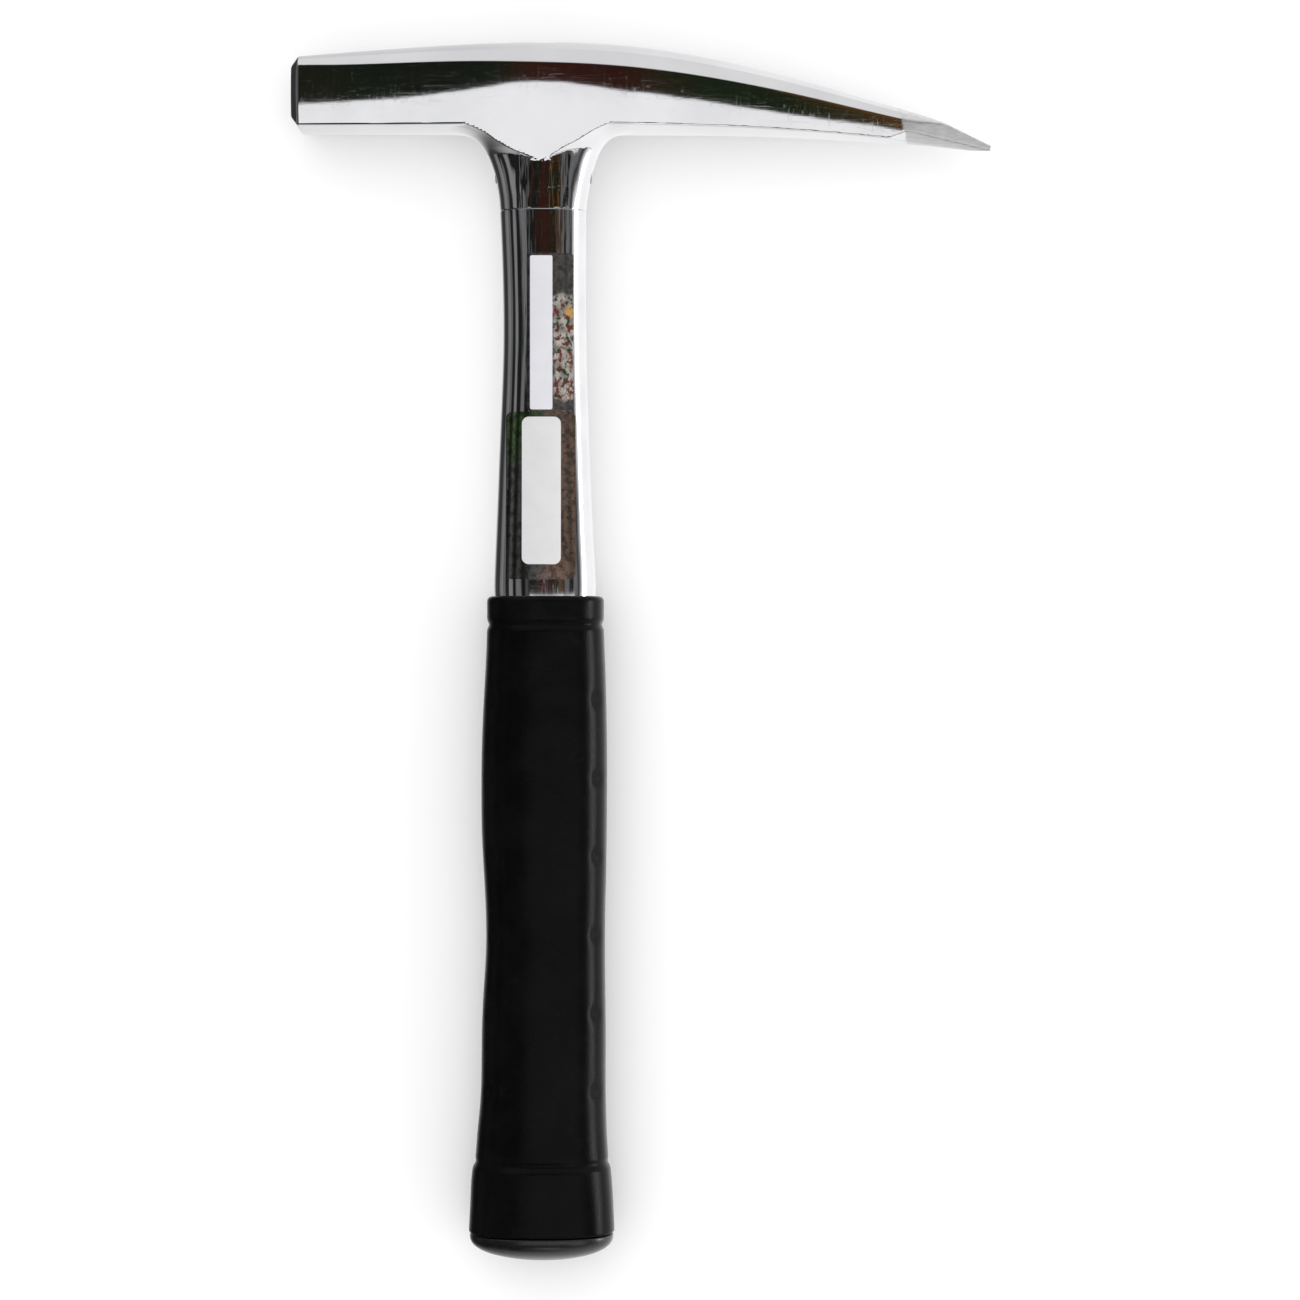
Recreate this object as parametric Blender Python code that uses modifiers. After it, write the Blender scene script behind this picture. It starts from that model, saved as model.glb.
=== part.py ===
"""Rock hammer: a forged square-face and pointed-pick head on a polished oval steel tube,
locked in the head by a wedge and a cross pin, with a moulded rubber grip and a butt cap.

Metres, +Z up. The hammer lies on its side on a table, as it does in use: the handle runs
along +Y with the head at the far end, the striking face looks to -X and the pick to +X.
All pieces are modelled about the handle's own axis (x = 0, z = 0, y = 0 at the butt) and
hang from one empty that puts the origin under the middle of the whole tool, on the table.
"""

import math

import bmesh
import bpy
from mathutils import Matrix, Vector

MM = 0.001

# ---------------------------------------------------------------- driving dimensions (mm)
LENGTH = 330.0          # butt to the top of the head
FACE_X = -68.6          # striking face
TIP_X = 121.6           # point of the pick
POMMEL_HALF_T = 14.0    # half thickness of the grip's flared end, the lowest point
CHEEK_HALF_T = 12.5     # half thickness of the head at the eye
LOWER_CHEEK = 0.89      # thickness at the head's underside, as a share of its greatest
GAP = 0.3               # between pieces that touch
PIN_Y = 294.0
PIN_R = 1.8
PIN_HOLE_R = 2.1
SPIGOT_R = 5.0

# Side outline of the head: x, top y, bottom y (mm), half thickness, top and bottom edge radius
HEAD = [
    (-68.6, 323.1, 309.3, 7.4, 1.2, 1.0),
    (-66.7, 325.9, 306.6, 10.0, 1.9, 1.1),
    (-60.0, 326.5, 306.6, 10.1, 2.1, 1.1),
    (-50.0, 327.4, 306.6, 10.4, 2.6, 1.2),
    (-38.0, 328.3, 306.6, 10.8, 3.3, 1.2),
    (-26.0, 329.0, 306.6, 11.5, 4.0, 1.3),
    (-14.0, 329.6, 306.6, 12.2, 4.5, 1.3),
    (-2.0, 330.0, 306.6, 12.5, 4.8, 1.3),
    (9.0, 329.9, 306.6, 12.5, 4.8, 1.3),
    (20.0, 329.2, 306.6, 12.0, 4.8, 1.3),
    (31.0, 328.1, 306.5, 11.2, 4.6, 1.3),
    (41.0, 326.4, 306.4, 10.45, 4.4, 1.3),
    (51.0, 324.4, 306.15, 9.6, 4.1, 1.3),
    (61.0, 322.4, 305.8, 8.7, 3.7, 1.2),
    (71.0, 319.9, 305.35, 7.75, 3.3, 1.2),
    (80.0, 317.2, 304.75, 6.9, 2.9, 1.1),
    (88.0, 314.8, 304.15, 6.1, 2.4, 1.0),
    (97.0, 312.2, 303.35, 5.3, 1.9, 0.9),
    (104.5, 310.0, 302.7, 3.85, 1.0, 0.8),
    (110.0, 307.6, 302.1, 2.75, 0.7, 0.6),
    (115.5, 305.1, 301.4, 1.65, 0.5, 0.4),
    (120.8, 302.8, 300.7, 0.6, 0.25, 0.25),
    (121.6, 302.2, 301.1, 0.35, 0.12, 0.12),
]

# Neck of the head: y, reach towards the face, reach towards the pick, half thickness before
# the cheeks are ground flat (mm), and how square the oval is
NECK = [
    (284.6, 12.2, 11.2, 9.38, 2.5),
    (291.0, 12.9, 12.1, 9.56, 2.45),
    (294.5, 13.65, 12.95, 9.66, 2.35),
    (297.4, 14.6, 13.65, 9.76, 2.3),
    (299.3, 15.35, 14.3, 9.9, 2.25),
    (300.5, 15.95, 14.85, 10.3, 2.2),
    (302.0, 16.9, 15.6, 11.3, 2.2),
    (304.2, 19.0, 17.4, 15.0, 2.2),
    (306.0, 21.9, 20.0, 21.8, 2.2),
    (307.4, 24.8, 22.8, 25.0, 2.2),
    (309.6, 27.0, 25.4, 28.0, 2.2),
]

# Outside of the tube: y, reach towards the face and the pick, half thickness (mm)
TUBE = [
    (329.3, 9.5, 9.5, 7.0),
    (284.32, 9.5, 9.5, 7.0),
    (284.3, 11.9, 10.9, 9.08),
    (283.9, 12.2, 11.2, 9.38),
    (275.0, 11.8, 11.15, 9.4),
    (262.0, 11.45, 11.15, 9.43),
    (250.0, 11.3, 11.25, 9.47),
    (240.0, 11.5, 11.4, 9.56),
    (228.0, 12.05, 11.8, 9.71),
    (214.0, 12.6, 12.3, 9.95),
    (204.0, 12.95, 12.7, 10.2),
    (194.0, 13.4, 13.2, 10.6),
    (186.0, 13.75, 13.75, 10.9),
    (181.0, 13.8, 13.8, 11.0),
    (176.0, 13.2, 13.2, 10.6),
    (168.0, 12.4, 12.4, 10.1),
    (160.0, 12.2, 12.2, 10.0),
    (90.0, 12.1, 12.1, 10.0),
    (20.0, 12.0, 12.0, 10.0),
]

# Bore of the tube, which steps in where the tube enters the head
TUBE_BORE = [
    (329.3, 7.9, 7.9, 5.4),
    (287.5, 7.9, 7.9, 5.4),
    (282.0, 10.3, 9.5, 7.3),
    (268.0, 10.0, 9.5, 7.5),
    (250.0, 9.7, 9.65, 7.7),
    (228.0, 10.45, 10.2, 8.1),
    (214.0, 11.0, 10.7, 8.35),
    (204.0, 11.35, 11.1, 8.6),
    (194.0, 11.8, 11.6, 9.0),
    (186.0, 12.15, 12.15, 9.3),
    (181.0, 12.2, 12.2, 9.4),
    (176.0, 11.6, 11.6, 9.0),
    (168.0, 10.8, 10.8, 8.5),
    (160.0, 10.6, 10.6, 8.4),
    (90.0, 10.5, 10.5, 8.4),
    (20.0, 10.4, 10.4, 8.4),
]

# Outside of the grip: y, reach towards the face and the pick, half thickness (mm)
GRIP = [
    (180.0, 14.8, 15.2, 12.1),
    (179.3, 15.4, 15.8, 12.6),
    (176.8, 15.7, 16.1, 12.9),
    (174.2, 15.7, 16.1, 12.9),
    (173.0, 15.1, 15.5, 12.4),
    (171.4, 15.1, 15.5, 12.4),
    (169.8, 15.7, 15.95, 12.8),
    (160.0, 16.1, 16.35, 12.9),
    (148.0, 16.8, 16.7, 13.1),
    (138.0, 17.1, 16.8, 13.3),
    (127.0, 17.2, 16.8, 13.3),
    (114.0, 17.0, 16.7, 13.2),
    (103.0, 16.4, 16.55, 12.9),
    (93.0, 15.95, 16.3, 12.7),
    (83.0, 15.95, 16.25, 12.7),
    (72.0, 16.7, 16.35, 12.9),
    (60.0, 17.1, 16.45, 13.1),
    (50.0, 17.2, 16.4, 13.1),
    (42.0, 17.5, 16.45, 13.1),
    (34.0, 18.3, 16.75, 13.3),
    (26.8, 18.8, 17.1, 13.5),
    (24.2, 19.6, 17.55, 13.8),
    (17.0, 20.15, 17.95, 14.0),
    (8.0, 20.6, 18.4, 14.0),
    (7.3, 20.2, 18.0, 13.7),
]

# Domed butt cap: y, reach towards the face and the pick, half thickness (mm)
CAP = [
    (0.0, 4.6, 3.6, 3.0),
    (0.35, 8.0, 6.9, 5.4),
    (1.0, 11.6, 10.3, 7.9),
    (1.8, 14.9, 13.3, 10.0),
    (2.6, 17.1, 15.3, 11.5),
    (3.5, 18.7, 16.7, 12.6),
    (4.6, 19.9, 17.8, 13.4),
    (5.8, 20.4, 18.2, 13.7),
    (6.7, 20.4, 18.2, 13.7),
    (7.0, 20.1, 17.9, 13.5),
    (7.01, 14.6, 14.6, 11.4),
    (10.8, 14.6, 14.6, 11.4),
]

collection = bpy.data.collections.new("rock_hammer")
helpers = bpy.data.collections.new("cutters")


def clear_scene():
    for obj in list(bpy.data.objects):
        bpy.data.objects.remove(obj, do_unlink=True)
    bpy.context.scene.collection.children.link(collection)
    bpy.context.scene.collection.children.link(helpers)


def material(name, colour, roughness, metallic):
    mat = bpy.data.materials.new(name)
    mat.use_nodes = True
    shader = mat.node_tree.nodes["Principled BSDF"]
    shader.inputs["Base Color"].default_value = (*colour, 1.0)
    shader.inputs["Roughness"].default_value = roughness
    shader.inputs["Metallic"].default_value = metallic
    mat.diffuse_color = (*colour, 1.0)
    return mat


def oval(y, left, right, b, count, power=2.5):
    """A superellipse across the handle, reaching left and right along x and b along z."""
    ring = []
    a, centre = (left + right) / 2, (right - left) / 2
    for i in range(count):
        t = 2 * math.pi * i / count
        c, s = math.cos(t), math.sin(t)
        ring.append(
            Vector((
                centre + a * math.copysign(abs(c) ** (2 / power), c),
                y,
                b * math.copysign(abs(s) ** (2 / power), s),
            ))
        )
    return ring


def section(x, top, bottom, half, r_top, r_bottom, steps=3):
    """A section of the head across x: cheeks that are flat above and taper below, with rounded
    edges."""
    low = half * LOWER_CHEEK
    side = [(0.0, top)]
    for i in range(steps + 1):
        t = math.radians(90 - 90 * i / steps)
        side.append((half - r_top + r_top * math.cos(t), top - r_top + r_top * math.sin(t)))
    side.append((half, bottom + 0.42 * (top - bottom)))
    for i in range(steps + 1):
        t = math.radians(-90 * i / steps)
        side.append((low - r_bottom + r_bottom * math.cos(t), bottom + r_bottom + r_bottom * math.sin(t)))
    side.append((0.0, bottom))
    ring = [Vector((x, y, z)) for z, y in side]
    ring += [Vector((x, y, -z)) for z, y in reversed(side[1:-1])]
    return ring


def loft(name, rings, ends="caps", where=None):
    """Skins rings that have the same number of points; its ends are capped, or joined up."""
    bm = bmesh.new()
    grown = [[bm.verts.new(p * MM) for p in ring] for ring in rings]
    count = len(rings[0])
    following = grown[1:] + (grown[:1] if ends == "joined" else [])
    for first, second in zip(grown, following):
        for i in range(count):
            j = (i + 1) % count
            bm.faces.new((first[i], first[j], second[j], second[i]))
    if ends == "caps":
        bm.faces.new(grown[0])
        bm.faces.new(grown[-1])
    bmesh.ops.recalc_face_normals(bm, faces=bm.faces[:])
    mesh = bpy.data.meshes.new(name)
    bm.to_mesh(mesh)
    bm.free()
    obj = bpy.data.objects.new(name, mesh)
    (where or collection).objects.link(obj)
    return obj


def cylinder(name, radius, depth, centre, axis, sides=24, where=None):
    bm = bmesh.new()
    bmesh.ops.create_cone(
        bm, cap_ends=True, segments=sides, radius1=radius * MM, radius2=radius * MM, depth=depth * MM
    )
    turn = Vector((0, 0, 1)).rotation_difference(Vector(axis)).to_matrix().to_4x4()
    bmesh.ops.transform(bm, matrix=turn, verts=bm.verts[:])
    mesh = bpy.data.meshes.new(name)
    bm.to_mesh(mesh)
    bm.free()
    obj = bpy.data.objects.new(name, mesh)
    obj.location = Vector(centre) * MM
    (where or collection).objects.link(obj)
    return obj


def boolean(obj, other, operation):
    mod = obj.modifiers.new(operation.lower() + "_" + other.name, "BOOLEAN")
    mod.operation = operation
    mod.solver = "EXACT"
    mod.object = other
    return mod


def bevel(obj, width, segments=2, angle=40):
    mod = obj.modifiers.new("soft_edges", "BEVEL")
    mod.width = width * MM
    mod.segments = segments
    mod.limit_method = "ANGLE"
    mod.angle_limit = math.radians(angle)
    return mod


def smooth(obj, angle=35):
    obj.data.shade_smooth()
    obj.data.set_sharp_from_angle(angle=math.radians(angle))


def helper(obj):
    obj.hide_render = True
    obj.display_type = "WIRE"
    return obj


def tube_size(y):
    """The tube's reach to each side and its half thickness at a height on the handle."""
    for upper, lower in zip(TUBE, TUBE[1:]):
        if lower[0] <= y <= upper[0]:
            t = (y - lower[0]) / (upper[0] - lower[0])
            return [b + (a - b) * t for a, b in zip(upper[1:], lower[1:])]
    return TUBE[-1][1:]


def label_patch(name, y_low, y_high, half_width, offset, stand_off, thickness):
    """A thin plate that follows the front of the tube."""
    bm = bmesh.new()
    rows, columns = 6, 8
    grid = []
    for r in range(rows + 1):
        y = y_low + (y_high - y_low) * r / rows
        left, right, b = tube_size(y)
        a, b, centre = (left + right) / 2 + stand_off, b + stand_off, (right - left) / 2
        row = []
        for c in range(columns + 1):
            x = offset + half_width * (2 * c / columns - 1)
            z = b * (1 - (abs(x - centre) / a) ** 2.5) ** (1 / 2.5)
            row.append(bm.verts.new(Vector((x, y, z)) * MM))
        grid.append(row)
    for r in range(rows):
        for c in range(columns):
            bm.faces.new((grid[r][c], grid[r][c + 1], grid[r + 1][c + 1], grid[r + 1][c]))
    bm.normal_update()
    if sum(f.normal.z for f in bm.faces) < 0:
        bmesh.ops.reverse_faces(bm, faces=bm.faces[:])
    mesh = bpy.data.meshes.new(name)
    bm.to_mesh(mesh)
    bm.free()
    obj = bpy.data.objects.new(name, mesh)
    collection.objects.link(obj)
    mod = obj.modifiers.new("film", "SOLIDIFY")
    mod.thickness = thickness * MM
    mod.offset = 1.0
    return obj


clear_scene()

polished = material("polished_steel", (0.72, 0.72, 0.73), 0.14, 1.0)
chromed = material("chromed_tube", (0.70, 0.70, 0.72), 0.12, 1.0)
plain_steel = material("plain_steel", (0.45, 0.45, 0.46), 0.35, 1.0)
hardwood = material("hardwood", (0.48, 0.31, 0.17), 0.65, 0.0)
rubber = material("black_rubber", (0.012, 0.012, 0.013), 0.5, 0.0)
plastic = material("black_plastic", (0.015, 0.015, 0.016), 0.4, 0.0)
film = material("label_film", (0.85, 0.85, 0.87), 0.35, 0.0)

# ---------------------------------------------------------------- forged head
head = loft("forged_head", [section(*row) for row in HEAD])
neck = helper(loft("neck_form", [oval(*row[:4], 36, row[4]) for row in NECK], where=helpers))
cheek_block = helper(
    loft(
        "cheek_block",
        [
            [Vector((x, y, z)) for x, z in ((-40, -h), (40, -h), (40, h), (-40, h))]
            for y, h in ((280.0, 9.8), (299.2, 9.8), (303.0, 10.3), (306.6, 11.0), (312.0, 11.25))
        ],
        where=helpers,
    )
)
boolean(neck, cheek_block, "INTERSECT")
eye = helper(
    loft(
        "eye_form",
        [oval(y, a, a, b, 32) for y, a, b in ((280.0, 9.8, 7.3), (325.0, 9.8, 7.3), (331.5, 10.15, 7.6))],
        where=helpers,
    )
)
pin_hole = helper(cylinder("pin_hole_form", PIN_HOLE_R, 50, (0, PIN_Y, 0), (1, 0, 0), 20, helpers))
boolean(head, neck, "UNION")
boolean(head, eye, "DIFFERENCE")
boolean(head, pin_hole, "DIFFERENCE")
head.data.materials.append(polished)
smooth(head)

# ---------------------------------------------------------------- tube, wedge, pin and stiffener
tube = loft(
    "handle_tube",
    [oval(*row, 32) for row in TUBE] + [oval(*row, 32) for row in reversed(TUBE_BORE)],
    ends="joined",
)
boolean(tube, pin_hole, "DIFFERENCE")
tube.data.materials.append(chromed)
smooth(tube)

stiffener = loft(
    "neck_stiffener",
    [
        oval(y, a, a, b, 28)
        for y, a, b in (
            (236.0, 8.8, 6.9),
            (238.0, 9.3, 7.3),
            (262.0, 9.1, 7.1),
            (280.6, 9.1, 6.8),
            (286.5, 7.4, 4.95),
            (311.0, 7.4, 4.95),
            (312.0, 6.8, 4.4),
        )
    ],
)
boolean(stiffener, pin_hole, "DIFFERENCE")
stiffener.data.materials.append(hardwood)
smooth(stiffener)

wedge = loft(
    "eye_wedge",
    [
        oval(y, a, a, b, 28)
        for y, a, b in ((313.5, 6.3, 3.9), (315.0, 6.8, 4.3), (328.6, 7.55, 5.05), (329.1, 7.3, 4.85))
    ],
)
wedge.data.materials.append(plain_steel)
smooth(wedge)

pin = cylinder("cross_pin", PIN_R, 26.2, (-0.35, PIN_Y, 0), (1, 0, 0), 20)
bevel(pin, 0.35)
pin.data.materials.append(plain_steel)
smooth(pin)

# ---------------------------------------------------------------- labels on the tube
upper_label = label_patch("upper_label", 230.4, 272.2, 6.35, 1.65, GAP, 0.3)
lower_label = label_patch("lower_label", 184.4, 229.8, 9.4, -0.9, GAP, 0.3)
for label in (upper_label, lower_label):
    label.data.materials.append(film)
    smooth(label)

# ---------------------------------------------------------------- grip
grip = loft("grip_sleeve", [oval(*row, 36, 2.35) for row in GRIP])
bore_rows = [(184.0, *tube_size(184.0))] + [row for row in TUBE if row[0] < GRIP[0][0] + 2]
bore = helper(
    loft(
        "grip_bore_form",
        [oval(y, a + GAP, c + GAP, b + GAP, 32) for y, a, c, b in bore_rows]
        + [oval(11.0, 12.0 + GAP, 12.0 + GAP, 10.0 + GAP, 32)],
        where=helpers,
    )
)
cap_seat = helper(
    loft("cap_seat_form", [oval(y, 14.9, 14.9, 11.7, 36, 2.35) for y in (-4.0, 11.1)], where=helpers)
)
boolean(grip, bore, "DIFFERENCE")
boolean(grip, cap_seat, "DIFFERENCE")
grip.data.materials.append(rubber)
smooth(grip)

# ---------------------------------------------------------------- end plug and butt cap
plug = loft(
    "tube_end_plug",
    [
        oval(y, a, a, b, 32)
        for y, a, b in (
            (11.6, 11.7, 9.7),
            (11.9, 12.0, 10.0),
            (19.7, 12.0, 10.0),
            (19.71, 10.1, 8.1),
            (35.0, 10.0, 8.0),
            (37.0, 9.4, 7.4),
        )
    ],
)
spigot_hole = helper(cylinder("spigot_hole_form", SPIGOT_R + GAP, 60, (0, 20, 0), (0, 1, 0), 28, helpers))
boolean(plug, spigot_hole, "DIFFERENCE")
plug.data.materials.append(plastic)
smooth(plug)

cap = loft(
    "butt_cap",
    [oval(*row, 36, 2.35) for row in CAP]
    + [oval(y, r, r, r, 36, 2.0) for y, r in ((10.81, SPIGOT_R), (30.0, SPIGOT_R), (31.5, SPIGOT_R - 1.2))],
)
cap.data.materials.append(plastic)
smooth(cap)

# ---------------------------------------------------------------- the whole tool on the table
root = bpy.data.objects.new("hammer_origin", None)
root.location = Vector((-(FACE_X + TIP_X) / 2, -LENGTH / 2, POMMEL_HALF_T)) * MM
collection.objects.link(root)
for obj in list(collection.objects) + list(helpers.objects):
    if obj is not root:
        obj.parent = root
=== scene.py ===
"""Rock hammer: polished forged head with a square face and a pointed pick, bright oval tube
handle with two blank labels, black moulded grip and a domed butt cap, lying on a pale floor."""

import math

import bpy
import numpy as np
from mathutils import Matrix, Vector


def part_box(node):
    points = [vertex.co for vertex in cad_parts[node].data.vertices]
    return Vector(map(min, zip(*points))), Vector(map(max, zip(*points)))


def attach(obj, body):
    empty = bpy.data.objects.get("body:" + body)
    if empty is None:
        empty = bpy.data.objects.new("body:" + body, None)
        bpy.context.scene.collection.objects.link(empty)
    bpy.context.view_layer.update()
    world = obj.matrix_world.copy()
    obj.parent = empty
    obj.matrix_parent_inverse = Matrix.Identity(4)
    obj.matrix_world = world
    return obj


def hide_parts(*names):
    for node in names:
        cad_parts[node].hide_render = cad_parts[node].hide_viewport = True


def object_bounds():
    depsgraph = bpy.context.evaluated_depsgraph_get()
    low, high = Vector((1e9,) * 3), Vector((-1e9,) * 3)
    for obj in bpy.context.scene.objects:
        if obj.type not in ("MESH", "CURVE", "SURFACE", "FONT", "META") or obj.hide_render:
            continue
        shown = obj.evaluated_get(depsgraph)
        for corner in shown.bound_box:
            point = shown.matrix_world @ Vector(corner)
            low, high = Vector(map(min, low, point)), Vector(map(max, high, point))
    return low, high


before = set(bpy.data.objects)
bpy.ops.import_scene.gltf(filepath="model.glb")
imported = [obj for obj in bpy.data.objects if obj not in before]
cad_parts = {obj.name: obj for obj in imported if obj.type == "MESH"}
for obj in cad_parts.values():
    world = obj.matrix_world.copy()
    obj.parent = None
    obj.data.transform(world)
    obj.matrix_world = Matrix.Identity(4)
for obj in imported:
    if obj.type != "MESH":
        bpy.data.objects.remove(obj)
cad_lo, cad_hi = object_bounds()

MM = 0.001

# The handle's own axis runs through x = 0, z = 0 with the butt at y = 0, in millimetres.
# The shift below carries it to where the CAD model lies.
head_lo, head_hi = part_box("forged_head")
FACE_X, LENGTH = -68.6, 330.0
SHIFT = np.array(
    [
        head_lo.x / MM - FACE_X,
        cad_lo.y / MM,
        (cad_lo.z + cad_hi.z) / 2 / MM,
    ]
)


# ------------------------------------------------------------------ curves and mesh helpers
class Curve:
    """A natural cubic spline through a short list of (position, value) pairs."""

    def __init__(self, *pairs):
        pairs = sorted(pairs)
        self.x = np.array([p[0] for p in pairs], float)
        self.y = np.array([p[1] for p in pairs], float)
        n = len(pairs)
        h = np.diff(self.x)
        a = np.zeros((n, n))
        b = np.zeros(n)
        a[0, 0] = a[-1, -1] = 1.0
        for i in range(1, n - 1):
            a[i, i - 1], a[i, i], a[i, i + 1] = h[i - 1], 2 * (h[i - 1] + h[i]), h[i]
            b[i] = 6 * ((self.y[i + 1] - self.y[i]) / h[i] - (self.y[i] - self.y[i - 1]) / h[i - 1])
        self.m = np.linalg.solve(a, b)
        self.h = h

    def __call__(self, t):
        t = np.clip(np.asarray(t, float), self.x[0], self.x[-1])
        i = np.clip(np.searchsorted(self.x, t) - 1, 0, len(self.h) - 1)
        h, m = self.h[i], self.m
        a, b = (self.x[i + 1] - t) / h, (t - self.x[i]) / h
        return (
            a * self.y[i]
            + b * self.y[i + 1]
            + ((a**3 - a) * m[i] + (b**3 - b) * m[i + 1]) * h * h / 6
        )


class Steady(Curve):
    """The same, but it never swings past the values it is given."""

    def __init__(self, *pairs):
        pairs = sorted(pairs)
        self.x = np.array([p[0] for p in pairs], float)
        self.y = np.array([p[1] for p in pairs], float)
        self.h = np.diff(self.x)
        rise = np.diff(self.y) / self.h
        slope = np.r_[rise[0], np.zeros(len(rise) - 1), rise[-1]]
        for i in range(1, len(rise)):
            if rise[i - 1] * rise[i] > 0:
                w1, w2 = 2 * self.h[i] + self.h[i - 1], self.h[i] + 2 * self.h[i - 1]
                slope[i] = (w1 + w2) / (w1 / rise[i - 1] + w2 / rise[i])
        self.slope = slope

    def __call__(self, t):
        t = np.clip(np.asarray(t, float), self.x[0], self.x[-1])
        i = np.clip(np.searchsorted(self.x, t) - 1, 0, len(self.h) - 1)
        h = self.h[i]
        u = (t - self.x[i]) / h
        return (
            (2 * u**3 - 3 * u**2 + 1) * self.y[i]
            + (u**3 - 2 * u**2 + u) * h * self.slope[i]
            + (3 * u**2 - 2 * u**3) * self.y[i + 1]
            + (u**3 - u**2) * h * self.slope[i + 1]
        )


def smoothstep(t, lo, hi):
    t = np.clip((t - lo) / (hi - lo), 0.0, 1.0)
    return t * t * (3 - 2 * t)


def mesh_piece(name, verts, quads, material, replaces=(), normals=None, tris=None):
    """Makes an object from points in handle millimetres, shaded smooth, riding on the one body."""
    mesh = bpy.data.meshes.new(name)
    faces = [tuple(q) for q in np.asarray(quads).tolist()]
    if tris is not None:
        faces += [tuple(t) for t in tris]
    mesh.from_pydata(((np.asarray(verts) + SHIFT) * MM).tolist(), [], faces)
    mesh.validate()
    mesh.update()
    mesh.shade_smooth()
    if normals is not None:
        mesh.normals_split_custom_set_from_vertices(normals.tolist())
    obj = bpy.data.objects.new(name, mesh)
    bpy.context.scene.collection.objects.link(obj)
    for mat in material if isinstance(material, (list, tuple)) else [material]:
        mesh.materials.append(mat)
    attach(obj, "root")
    if replaces:
        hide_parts(*replaces)
    return obj


def oval_ring(y, left, right, half, angles, power):
    """Points of a superellipse across the handle."""
    a, cx = (left + right) / 2, (right - left) / 2
    c, s = np.cos(angles), np.sin(angles)
    return np.stack(
        [
            cx + a * np.sign(c) * np.abs(c) ** (2 / power),
            np.full_like(angles, y),
            half * np.sign(s) * np.abs(s) ** (2 / power),
        ],
        axis=1,
    )


def even_angles(a, b, power, count):
    """Angles that space points evenly along a superellipse, so its flats and corners are even."""
    t = np.linspace(0, 2 * math.pi, 7201)
    ring = oval_ring(0.0, a, a, b, t, power)
    step = np.r_[0, np.cumsum(np.linalg.norm(np.diff(ring, axis=0), axis=1))]
    return np.interp(np.linspace(0, step[-1], count + 1)[:-1], step, t)


def ring_faces(rows, count, joined=False, flip=False):
    i, j = np.meshgrid(np.arange(rows if joined else rows - 1), np.arange(count), indexing="ij")
    i2, j2 = (i + 1) % rows, (j + 1) % count
    quads = np.stack([i * count + j, i2 * count + j, i2 * count + j2, i * count + j2], axis=-1)
    quads = quads.reshape(-1, 4)
    return quads[:, ::-1] if flip else quads


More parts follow.
